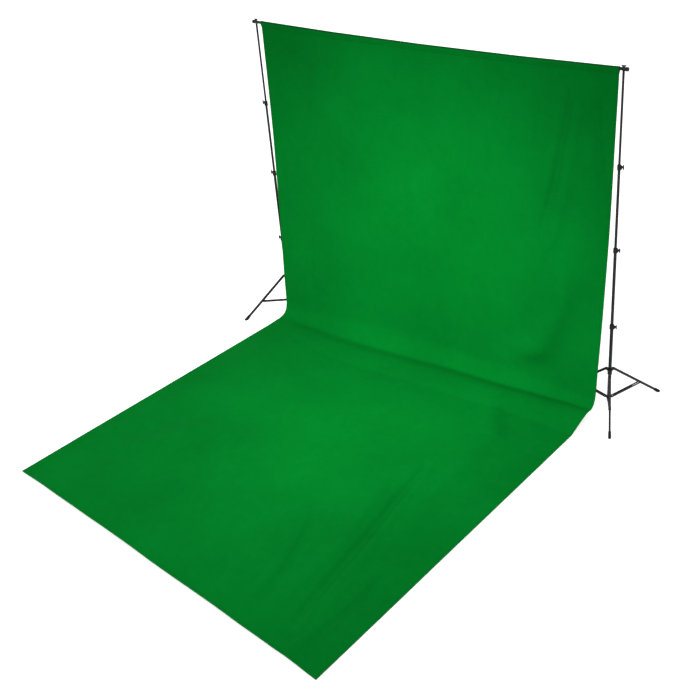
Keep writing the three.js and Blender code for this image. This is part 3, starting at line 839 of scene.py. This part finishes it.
def bar_section(i, length, place):
    """A bar tube with a rolled end, and the spigot and spring button that join it to the next."""
    last = i == SECTIONS - 1
    inner = BAR_RADIUS - TUBE_WALL
    end = length if last else length - GAP
    shells = [moved(pipe(BAR_RADIUS, inner, 0, end, 0.4), TO_X)]
    if not last:
        bore = inner - 2
        fit, slim = inner + 0.4, inner - 0.8
        root = end - SPIGOT_ROOT
        sleeve = [(bore, root), (fit, root), (fit, end - 1)]
        sleeve += [(slim, end - 1), (slim, end + SPIGOT), (bore, end + SPIGOT)]
        shells.append(moved(turned(rounded(sleeve, 0.5, 2)), TO_X))
        shells.append(button_collar(length + BUTTON_AT))
        button_piece(i + 1, length + BUTTON_AT, place)
    name = f"crossbar_section_{i + 1}"
    make_piece(f"{name}_piece", shells, place, "left_upper_riser", [name], TUBE)
    if i == 0 or last:
        cap_piece("left" if i == 0 else "right", 0 if i == 0 else length, place)


def button_collar(x):
    """The pressed rim round a spring button's hole, on the bar's back."""
    low, high = BAR_RADIUS - 0.6, BAR_RADIUS + 0.25
    ring = [(BUTTON_RADIUS + 0.3, low), (BUTTON_RADIUS + 1.6, low)]
    ring += [(BUTTON_RADIUS + 1.2, high), (BUTTON_RADIUS + 0.3, high)]
    return moved(turned(rounded(ring, 0.2, 2), 24), TO_Y, shift(x=x))


def button_piece(number, x, place):
    name = f"snap_button_{number}"
    top = BAR_RADIUS + BUTTON_PROUD
    pin = [(3.8, 3), (3.8, 4.6), (BUTTON_RADIUS, 4.6), (BUTTON_RADIUS, top - 1.4)]
    pin += [(BUTTON_RADIUS * math.cos(a), top - 1.4 + 1.4 * math.sin(a)) for a in np.radians([25, 50, 72])]
    shells = [moved(barrel(pin, 28), TO_Y, shift(x=x))]
    make_piece(f"{name}_piece", shells, place, name, [name], STEEL)


def cap_piece(side, x, place):
    """A push-on end cap with shallow grip ribs and a rounded end."""
    name = f"{side}_bar_cap"
    bore, outer, deep, end = BAR_RADIUS + GAP, BAR_RADIUS + GAP + 2, GAP - 18, 3
    profile = [(0, end), (0, GAP), (bore, GAP), (bore, deep), (outer - 0.6, deep), (outer, deep + 1),
               (outer, end - 2), (outer - 0.5, end - 0.6), (outer - 2, end)]
    shells = [moved(turned(profile), TO_X)]
    for rib in ribs(outer, deep + 4, end - 4, 30, 0, 0.35):
        shells.append(moved(rib, TO_X))
    facing = turn(180, "Z") if side == "left" else Matrix.Identity(4)
    make_piece(f"{name}_piece", shells, place @ shift(x * MM) @ facing, "left_upper_riser", [name],
               PLASTIC)


# ---- Cloth: sizes in metres ----
THICKNESS = 0.0014
HEM = 0.02
HEM_LINES = (0, 0.0015, HEM * 0.5, HEM - 0.0015, HEM, HEM + 0.002)  # lines that keep a hem's step crisp
POCKET = 0.034  # from the bar's axis down to the pocket's stitched seam
WRAP = 0.0127  # the pocket's inner radius over the bar
# Each edge's inset from its mast's axis at the bar, where it starts to turn, on the floor and at the
# front, and how far forward of the masts it ends
EDGES = {
    "left": {"top": 0.054, "bend": 0.070, "foot": 0.083, "front": 0.0635, "length": 2.968},
    "right": {"top": 0.029, "bend": 0.030, "foot": 0.027, "front": 0.0195, "length": 3.320},
}
HANG_CURVE = 1.6  # the cloth leans forward more the lower it hangs
# Where the cloth turns forward, as (forward, height), at shares of its width from left to right
TURN = {
    0.00: [(0.095, 0.40), (0.106, 0.22), (0.113, 0.12), (0.128, 0.062), (0.160, 0.026), (0.215, 0.006),
           (0.27, 0.004), (0.38, 0.0)],
    0.28: [(0.105, 0.40), (0.128, 0.22), (0.150, 0.14), (0.186, 0.088), (0.226, 0.044), (0.276, 0.018),
           (0.38, 0.018), (0.56, 0.0)],
    0.55: [(0.100, 0.40), (0.112, 0.22), (0.122, 0.15), (0.146, 0.098), (0.182, 0.052), (0.226, 0.024),
           (0.33, 0.026), (0.52, 0.0)],
    0.85: [(0.104, 0.40), (0.114, 0.22), (0.122, 0.145), (0.140, 0.098), (0.168, 0.058), (0.206, 0.036),
           (0.30, 0.042), (0.50, 0.0)],
    1.00: [(0.120, 0.40), (0.138, 0.22), (0.152, 0.135), (0.166, 0.100), (0.188, 0.076), (0.216, 0.064),
           (0.295, 0.062), (0.50, 0.0)],
}
COLUMNS = 170
WALL_STEP = 0.02
TURN_STEPS = 6
FLOOR_ROWS = 165
BLEND_LEVELS = (0.05, 0.86, 1.66, 2.46)  # heights near which the cloth is cut into its stretches; the middle two are used

# Soft folds: the line each follows, how wide and how deep it is. A negative depth is a valley.
WALL_FOLDS = [
    ([(1.27, 2.50), (1.20, 2.06), (1.14, 1.70), (1.02, 1.22)], 0.026, -0.022),
    ([(1.33, 2.50), (1.28, 2.05), (1.23, 1.65), (1.12, 1.15)], 0.060, 0.030),
    ([(1.41, 2.50), (1.45, 2.03), (1.51, 1.52)], 0.030, -0.020),
    ([(1.31, 1.15), (1.24, 0.73), (1.10, 0.40), (0.82, 0.22)], 0.095, 0.045),
    ([(-0.55, 2.50), (-0.56, 1.90), (-0.72, 1.45)], 0.240, 0.045),
    ([(-1.20, 2.45), (-1.16, 1.90), (-1.28, 1.40)], 0.150, -0.035),
    ([(-1.14, 0.80), (-1.20, 0.30)], 0.030, -0.012),
    ([(0.30, 2.50), (0.22, 1.90), (0.30, 1.20)], 0.180, 0.018),
    ([(1.05, 2.50), (1.00, 2.10), (0.96, 1.75)], 0.024, -0.009),
    ([(0.72, 2.50), (0.70, 2.20), (0.66, 1.90)], 0.022, -0.006),
    ([(-0.20, 2.50), (-0.22, 2.20), (-0.18, 1.90)], 0.022, -0.004),
]
FLOOR_FOLDS = [
    ([(0.92, 0.10), (0.975, -0.25), (1.06, -0.70), (1.11, -1.07), (1.22, -1.80)], 0.030, -0.030),
    ([(1.00, 0.00), (1.06, -0.35), (1.15, -0.80), (1.22, -1.20), (1.33, -1.80)], 0.045, 0.026),
    ([(0.80, -0.10), (0.88, -0.50), (0.97, -0.95), (1.05, -1.75)], 0.055, 0.018),
    ([(1.39, -0.90), (1.392, -1.37), (1.386, -1.80)], 0.026, -0.022),
    ([(0.85, 1.09), (1.13, 0.62), (1.165, -0.20), (1.26, -0.98)], 0.090, 0.034),
    ([(-1.28, -1.34), (-1.06, -0.67), (-0.94, -0.27), (-0.34, -0.14)], 0.150, -0.020),
    ([(-1.20, -1.05), (-0.90, -0.60), (-0.70, -0.20)], 0.110, 0.024),
    ([(0.62, -0.70), (0.82, -1.25), (0.93, -1.75)], 0.030, -0.020),
    ([(1.20, -1.00), (1.25, -1.40), (1.28, -1.80)], 0.022, -0.018),
]


def edge_x(side, key):
    sign = 1 if side == "left" else -1
    return mast_axis(side).x + sign * EDGES[side][key]


def turn_points(share):
    """The turn's points for each share of the width: an array of shares by points by coordinates."""
    stations = sorted(TURN)
    table = np.array([TURN[station] for station in stations])
    count, axes = table.shape[1:]
    mixed = [np.interp(share, stations, table[:, i, k]) for i in range(count) for k in range(axes)]
    mixed = softened(np.stack(mixed, 1), share)
    return mixed.reshape(len(share), count, axes)


def softened(values, share, reach=0.12):
    """Each column averaged over nearby shares, so that stations leave no corners."""
    weights = np.exp(-(((share[:, None] - share[None, :]) / reach) ** 2) * 2)
    weights /= weights.sum(1, keepdims=True)
    edge = np.minimum(np.minimum(share, 1 - share) / reach, 1)[:, None]
    return values + (weights @ values - values) * edge


def smooth_path(points, steps):
    """A Catmull-Rom curve through points[:, i, :], with so many steps between each pair."""
    first, last = 2 * points[:, :1] - points[:, 1:2], 2 * points[:, -1:] - points[:, -2:-1]
    padded = np.concatenate([first, points, last], 1)
    pieces = []
    for i in range(points.shape[1] - 1):
        a, b, c, d = (padded[:, i + k, None] for k in range(4))
        t = (np.arange(steps) / steps)[None, :, None]
        bend, twist = 2 * a - 5 * b + 4 * c - d, 3 * b - a - 3 * c + d
        pieces.append(0.5 * (2 * b + (c - a) * t + bend * t**2 + twist * t**3))
    return np.concatenate([*pieces, points[:, -1:]], 1)


def column_shares():
    """Shares of the width, closer together at the hems so that they can be raised."""
    width = edge_x("right", "top") - edge_x("left", "top")
    near = np.array(HEM_LINES) / width
    inside = np.linspace(0, 1, COLUMNS)
    inside = inside[(inside > near[-1] + 0.003) & (inside < 1 - near[-1] - 0.003)]
    return np.concatenate([near, inside, 1 - near[::-1]])


def across_between(key, share):
    """The cloth's x at each share of its width, where its edges have the given inset."""
    left, right = edge_x("left", key), edge_x("right", key)
    return left + (right - left) * share


def cloth_grid():
    """The cloth's middle surface: rows from the pocket's seam over the bar, down and forward."""
    share = column_shares()
    back = mast_axis("left").y
    top_x = across_between("top", share)
    axis = np.array([bar_axis_height(x / MM) * MM for x in top_x])
    pocket = pocket_rows(top_x, back, axis)
    turning = turn_points(share)
    rows = pocket + wall_rows(top_x, back, axis, share, turning) + turn_rows(back, share, turning)
    rows += floor_rows(back, share, turning)
    return np.stack(rows), share, len(pocket) - 1


def pocket_rows(x, back, axis):
    """From the seam up behind the bar, over it and down to the seam in front."""
    gap = THICKNESS * 0.55
    lean = math.degrees(math.asin(WRAP / POCKET))
    rows = []
    side = WRAP * math.cos(math.radians(lean))
    rise = POCKET - WRAP * math.sin(math.radians(lean))
    for t in (0, 0.25, 0.5, 0.75):
        rows.append((gap + (side - gap) * t, -POCKET + rise * t))
    rows += arc((0, 0), WRAP, -lean, 180 + lean, 20)
    for t in (0.75, 0.5, 0.25, 0):
        rows.append((-gap - (side - gap) * t, -POCKET + rise * t))
    return [np.stack([x, np.full_like(x, back + y), axis + z], 1) for y, z in rows]


def wall_rows(top_x, back, axis, share, turning):
    """The hanging part, from under the seam to where it starts to turn forward."""
    bend_x = across_between("bend", share)
    low = float(turning[0, 0, 1])
    start = axis - POCKET
    highest = math.floor(start.min() / WALL_STEP) * WALL_STEP
    rows = []
    for height in np.arange(highest, low + WALL_STEP / 2, -WALL_STEP):
        t = (start - height) / (start - low)
        forward = turning[:, 0, 0] * t**HANG_CURVE + THICKNESS * 0.55 * (1 - t)
        x = top_x + (bend_x - top_x) * t**HANG_CURVE
        rows.append(np.stack([x, back - forward, np.full_like(x, height)], 1))
    return rows


def turn_rows(back, share, turning):
    """The stretch that turns forward and comes down to the floor."""
    bend_x, foot_x = across_between("bend", share), across_between("foot", share)
    path = smooth_path(turning, TURN_STEPS)
    count = path.shape[1] - 1
    rows = []
    for k in range(count):
        forward, height = path[:, k].T
        x = bend_x + (foot_x - bend_x) * k / count
        rows.append(np.stack([x, back - forward, np.maximum(height, 0) + THICKNESS / 2], 1))
    return rows


def floor_rows(back, share, turning):
    """The part that lies on the floor, to its front edge."""
    feet = turning[:, -1, 0]
    lengths = EDGES["left"]["length"] + (EDGES["right"]["length"] - EDGES["left"]["length"]) * share
    foot_x, front_x = across_between("foot", share), across_between("front", share)
    near = np.array(HEM_LINES[::-1]) / (lengths - feet).mean()
    steps = np.linspace(0, 1, FLOOR_ROWS)
    steps = np.concatenate([steps[steps < 1 - near[0] - 0.002], 1 - near])
    rows = []
    for t in steps:
        forward = feet + (lengths - feet) * t
        x = foot_x + (front_x - foot_x) * t
        rows.append(np.stack([x, back - forward, np.full_like(x, THICKNESS / 2)], 1))
    return rows


def fold_field(across, along, folds):
    """The folds' depth at each point: each fades towards the ends of its line."""
    depth = np.zeros_like(across)
    for line, width, size in folds:
        points = np.array(line)
        nearest = np.full(across.shape, 1e9)
        reach = np.zeros_like(across)
        lengths = np.linalg.norm(np.diff(points, axis=0), axis=1)
        total, done = lengths.sum(), 0.0
        for (ax, ay), (bx, by), length in zip(points[:-1], points[1:], lengths):
            t = ((across - ax) * (bx - ax) + (along - ay) * (by - ay)) / length**2
            t = np.clip(t, 0, 1)
            away = np.hypot(across - ax - (bx - ax) * t, along - ay - (by - ay) * t)
            closer = away < nearest
            nearest = np.where(closer, away, nearest)
            reach = np.where(closer, (done + length * t) / total, reach)
            done += length
        taper = np.clip(1.25 * np.sin(math.pi * np.clip(reach * 0.9 + 0.08, 0, 1)), 0, 1)
        depth += size * np.exp(-((nearest / width) ** 2)) * taper
    return depth


def ripple(points, scales):
    """Smooth seeded noise over the cloth, as a sum of (wavelength, height, stretch along)."""
    total = np.zeros(points.shape[:2])
    for number, (wave, height, stretch) in enumerate(scales):
        for i in range(points.shape[0]):
            for k in range(points.shape[1]):
                x, y, z = points[i, k]
                spot = Vector((x / wave, (y - z) / wave / stretch, 7.3 * number))
                total[i, k] += height * noise.noise(spot)
    return total


def surface_normals(grid):
    down = np.gradient(grid, axis=0)
    across = np.gradient(grid, axis=1)
    normals = np.cross(down, across)
    return normals / np.maximum(np.linalg.norm(normals, axis=2), 1e-9)[..., None]


def smoothstep(value, low, high):
    t = np.clip((value - low) / (high - low), 0, 1)
    return t * t * (3 - 2 * t)


def relief(grid, share, first_free):
    """The cloth with its folds, ripples and raised hems."""
    x, y, z = np.moveaxis(grid, 2, 0)
    wall = smoothstep(z, 0.10, 0.34)
    pocket_fade = smoothstep(grid[first_free, :, 2][None, :] - z, 0.0, 0.25)
    pocket_fade[:first_free] = 0
    folds = fold_field(x, z, WALL_FOLDS) * wall * pocket_fade
    soft = ripple(grid, [(0.55, 0.010, 1.8), (0.21, 0.0028, 2.5)])
    fine = ripple(grid, [(0.075, 0.0007, 3.0)])
    wall_part = folds + (soft + fine) * pocket_fade * wall
    flat = smoothstep(y, y[-1].max() + 3.1, y[-1].max() + 2.5) * (1 - wall)
    side = np.minimum(share, 1 - share)[None, :] * (x[0, -1] - x[0, 0])
    rim = 0.25 + 0.75 * smoothstep(side, 0.0, 0.25)
    lifted = 0.020 + fold_field(x, y, FLOOR_FOLDS) + soft * 0.7 + fine
    floor_part = np.maximum(lifted, 0) * flat * rim
    return grid + surface_normals(grid) * (wall_part + floor_part)[..., None]


def cloth_pieces():
    grid, share, first_free = cloth_grid()
    surface = relief(grid, share, first_free)
    normals = surface_normals(surface)
    steps = np.linalg.norm(np.diff(surface, axis=0), axis=2)
    lengths = np.concatenate([np.zeros((1, len(share))), np.cumsum(steps, axis=0)])
    lengths -= lengths[first_free]
    level = surface[first_free + 10]
    width = np.concatenate([[0], np.cumsum(np.linalg.norm(np.diff(level, axis=0), axis=1))])
    mean_z = surface[:, :, 2].mean(1)
    rows = np.arange(len(mean_z))
    free = rows > first_free
    splits = [int(rows[free][np.argmin(abs(mean_z[free] - h))]) for h in BLEND_LEVELS[2:0:-1]]
    spans = [("backdrop_top", 0, splits[0], 2, ["backdrop_pocket"]),
             ("backdrop_middle", splits[0], splits[1], 1, []),
             ("backdrop_sweep", splits[1], len(rows) - 1, 0, ["backdrop_drop", "backdrop_floor"])]
    scale = lengths[-1].mean()
    along = lengths / lengths[-1][None, :] * scale
    material = cloth_material(float(width[-1]), float(scale))
    for name, first, last, bodies, nodes in spans:
        piece = cloth_mesh(name, surface, normals, along, width, first, last, material)
        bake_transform(piece)
        if nodes:
            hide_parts(*nodes)


def cloth_mesh(name, surface, normals, along, width, first, last, material):
    """A stretch of the cloth as a thin closed sheet. The next stretch starts at its last row."""
    rows = slice(first, last + 1)
    part, part_normals, part_along = surface[rows], normals[rows], along[rows]
    high, wide = part.shape[:2]
    half = THICKNESS / 2
    doubled = hem_height(part_along, width, along[-1].mean())
    front = part + part_normals * (half + doubled)[..., None]
    rear = part - part_normals * half
    verts = np.concatenate([front.reshape(-1, 3), rear.reshape(-1, 3)])
    sheet = high * wide
    index = np.arange(sheet).reshape(high, wide)
    quads = np.stack([index[:-1, :-1], index[1:, :-1], index[1:, 1:], index[:-1, 1:]], -1).reshape(-1, 4)
    faces = [quads, quads[:, ::-1] + sheet]
    for edge, flip in ((index[:, 0], False), (index[:, -1], True), (index[0], True), (index[-1], False)):
        faces.append(rim_faces(edge, sheet, flip))
    mesh = bpy.data.meshes.new(name)
    mesh.from_pydata(verts.tolist(), [], np.concatenate(faces).tolist())
    mesh.shade_smooth()
    both = np.concatenate([part_normals, -part_normals]).reshape(-1, 3)
    mesh.normals_split_custom_set_from_vertices(both.tolist())
    add_cloth_map(mesh, np.tile(np.tile(width, (high, 1)).ravel(), 2), np.tile(part_along.ravel(), 2))
    mesh.materials.append(material)
    return add_object(name, mesh)


def hem_height(along, width, total):
    """How far the doubled hem stands up on the cloth's face."""
    edge = np.minimum(np.minimum(width, width[-1] - width)[None, :], total - along)
    return np.where(edge < HEM - 0.0007, THICKNESS * 0.6, 0.0)


def rim_faces(edge, offset, flip):
    a, b = edge[:-1], edge[1:]
    quads = np.stack([a, b, b + offset, a + offset], -1)
    return quads[:, ::-1] if flip else quads


def add_cloth_map(mesh, across, along):
    """A map in metres of cloth: across from its left edge, and along from the pocket's seam."""
    layer = mesh.uv_layers.new(name="cloth")
    corners = np.zeros(len(mesh.loops), np.int32)
    mesh.loops.foreach_get("vertex_index", corners)
    layer.data.foreach_set("uv", np.stack([across[corners], along[corners]], -1).astype(np.float32).ravel())


THREAD = 0.0011
STITCH = 0.0042
OVER_BAR = 0.054  # from the pocket's seam up to the cloth's line over the bar
CLOTH_DARK = (0.0001, 0.128, 0.0125, 1)
CLOTH_LIGHT = (0.0002, 0.160, 0.0165, 1)
CLOTH_THREAD = (0.0002, 0.060, 0.007, 1)
CLOTH_PAINTED_SHADE = (0.001, 0.030, 0.005, 1)  # painted shade: a dark line along the top, where the cloth passes over the bar


def cloth_material(width, length):
    """Green muslin: plain weave with slubs, soft dye clouds, a stitched line along each hem, and a dark line
    of painted shade along the top over the bar.
    """
    material, tree, shader = new_material("green_cloth")
    where = node(tree, "UVMap", {"uv_map": "cloth"}).outputs[0]
    split = node(tree, "SeparateXYZ", None, Vector=where)
    across, along = split.outputs[0], split.outputs[1]
    thread = 2 * math.pi / THREAD
    warp = calc(tree, "SINE", calc(tree, "MULTIPLY", across, thread))
    weft = calc(tree, "SINE", calc(tree, "MULTIPLY", along, thread))
    weave = calc(tree, "MULTIPLY", warp, weft)
    slub_warp = noise_of(tree, stretched(tree, where, 420, 9, 1), 1.0, 2.0)
    slub_weft = noise_of(tree, stretched(tree, where, 9, 420, 1), 1.0, 2.0)
    slubs = calc(tree, "ADD", slub_warp, slub_weft)
    clouds = noise_of(tree, where, 1.5, 3.0, 0.55)
    wash = noise_of(tree, where, 14.0, 4.0, 0.6)
    tone = calc(tree, "MULTIPLY_ADD", clouds, 0.7, calc(tree, "MULTIPLY", wash, 0.3))
    colour = blend_colour(tree, ramp(tree, tone, 0.3, 0.7, 0, 1), CLOTH_DARK, CLOTH_LIGHT)
    fibre = ramp(tree, slubs, 0.7, 1.3, 0.94, 1.06)
    fibre = node(tree, "CombineXYZ", None, X=fibre, Y=fibre, Z=fibre).outputs[0]
    product = {"data_type": "RGBA", "blend_type": "MULTIPLY"}
    colour = node(tree, "Mix", product, _0=1.0, _6=colour, _7=fibre).outputs[2]
    # Painted shade: the cloth darkened in a narrow band where it passes over the bar, standing in for the
    # bar's shade.
    painted_shade = ramp(tree, calc(tree, "ABSOLUTE", calc(tree, "ADD", along, OVER_BAR)), 0.006, 0.016, 0.75, 0)
    colour = blend_colour(tree, painted_shade, colour, CLOTH_PAINTED_SHADE)
    stitches = stitch_mask(tree, across, along, width, length)
    colour = blend_colour(tree, stitches, colour, CLOTH_THREAD)
    tree.links.new(colour, shader.inputs["Base Color"])
    shader.inputs["Roughness"].default_value = 0.92
    shader.inputs["Specular IOR Level"].default_value = 0.015
    height = calc(tree, "MULTIPLY_ADD", slubs, 0.8, calc(tree, "MULTIPLY", weave, 0.25))
    first = bump(tree, shader, height, 0.25, 0.0004)
    bump(tree, shader, stitches, 0.6, 0.0006, first)
    return material


def stitch_mask(tree, across, along, width, length):
    """Dashes on a line just inside each hem and on the pocket's seam."""
    sides = calc(tree, "MINIMUM", across, calc(tree, "SUBTRACT", width, across))
    edge = calc(tree, "MINIMUM", sides, calc(tree, "SUBTRACT", length, along))
    hem_line = calc(tree, "COMPARE", edge, HEM * 0.85, 0.0007)
    seam_line = calc(tree, "COMPARE", along, 0.0, 0.0009)
    line = calc(tree, "MAXIMUM", hem_line, seam_line)
    phase = calc(tree, "SINE", calc(tree, "MULTIPLY", calc(tree, "ADD", across, along), 2 * math.pi / STITCH))
    dash = calc(tree, "GREATER_THAN", phase, -0.35)
    return calc(tree, "MULTIPLY", line, dash)


# ---- Stage, light and camera ----
CAMERA_PLACE = (4.7765, -4.9135, 4.4747)
CAMERA_FORWARD = (-0.54331, 0.66582, -0.51137)
CAMERA_ROLL = -3.98
LENS = 57.10
SENSOR = 36.0
LENS_SHIFT = (-0.0627, 0.0438)
FLOOR_REACH = 40
FLOOR_DROP = 0.0005  # the floor's top stands this far under the object
FLOOR_GLOW = 0.62
SKY = 0.93  # the sky's strength as light; seen directly it is 1
# Soft spots: where each stands, what it aims at, its cone in degrees and its power in watts
LAMPS = {
    "wall_spot": ((0.5, -2.3, 1.9), (0.05, 1.45, 0.80), 72, 400),
    "floor_spot": ((0.3, -0.6, 4.2), (-0.1, 0.05, 0.0), 84, 400),
}
LAMP_SIZE = 0.5


def add_camera():
    data = bpy.data.cameras.new("camera")
    data.lens = LENS
    data.sensor_width = SENSOR
    data.shift_x, data.shift_y = LENS_SHIFT
    camera = add_object("camera", data)
    camera.location = CAMERA_PLACE
    camera.rotation_mode = "QUATERNION"
    level = Vector(CAMERA_FORWARD).to_track_quat("-Z", "Y")
    camera.rotation_quaternion = level @ Matrix.Rotation(math.radians(CAMERA_ROLL), 3, "Z").to_quaternion()
    bpy.context.scene.camera = camera


def seen_directly(tree):
    """1 on rays that come straight from the camera, or off metal and glass."""
    path = node(tree, "LightPath")
    shiny = calc(tree, "MAXIMUM", path.outputs["Is Glossy Ray"], path.outputs["Is Transmission Ray"])
    return calc(tree, "MAXIMUM", path.outputs["Is Camera Ray"], shiny)


def add_floor():
    """A white floor that glows just enough to look white, and keeps soft shadows."""
    mesh = bpy.data.meshes.new("floor")
    signs = [(-1, -1), (1, -1), (1, 1), (-1, 1)]
    corners = [(FLOOR_REACH * x, FLOOR_REACH * y, 0) for x, y in signs]
    mesh.from_pydata(corners, [], [(0, 1, 2, 3)])
    floor = add_object("floor", mesh)
    floor.location.z = -FLOOR_DROP
    material, tree, shader = new_material("white_floor")
    shader.inputs["Base Color"].default_value = (0.86, 0.86, 0.86, 1)
    shader.inputs["Roughness"].default_value = 0.9
    shader.inputs["Specular IOR Level"].default_value = 0.0
    shader.inputs["Emission Color"].default_value = (1, 1, 1, 1)
    glow = calc(tree, "MULTIPLY", seen_directly(tree), FLOOR_GLOW)
    tree.links.new(glow, shader.inputs["Emission Strength"])
    mesh.materials.append(material)


def add_world():
    world = bpy.data.worlds.new("studio")
    world.use_nodes = True
    tree = world.node_tree
    back = tree.nodes["Background"]
    back.inputs["Color"].default_value = (1, 1, 1, 1)
    strength = calc(tree, "MULTIPLY_ADD", seen_directly(tree), 1 - SKY, SKY)
    tree.links.new(strength, back.inputs["Strength"])
    bpy.context.scene.world = world


def add_lamp(name, place, aim, cone, power):
    data = bpy.data.lights.new(name, "SPOT")
    data.spot_size = math.radians(cone)
    data.spot_blend = 1.0
    data.shadow_soft_size = LAMP_SIZE
    data.energy = power
    lamp = add_object(name, data)
    lamp.location = place
    lamp.rotation_mode = "QUATERNION"
    lamp.rotation_quaternion = (Vector(aim) - Vector(place)).to_track_quat("-Z", "Y")


TUBE = tube_material()
PLASTIC = plastic_material()
RUBBER = rubber_material()
NUT = nut_material()
STEEL = steel_material()

for side in SIDES:
    stand_pieces(side)
bar_pieces()
cloth_pieces()
add_floor()
add_world()
for lamp_name, settings in LAMPS.items():
    add_lamp(lamp_name, *settings)
add_camera()
bpy.context.scene.view_settings.view_transform = "Standard"
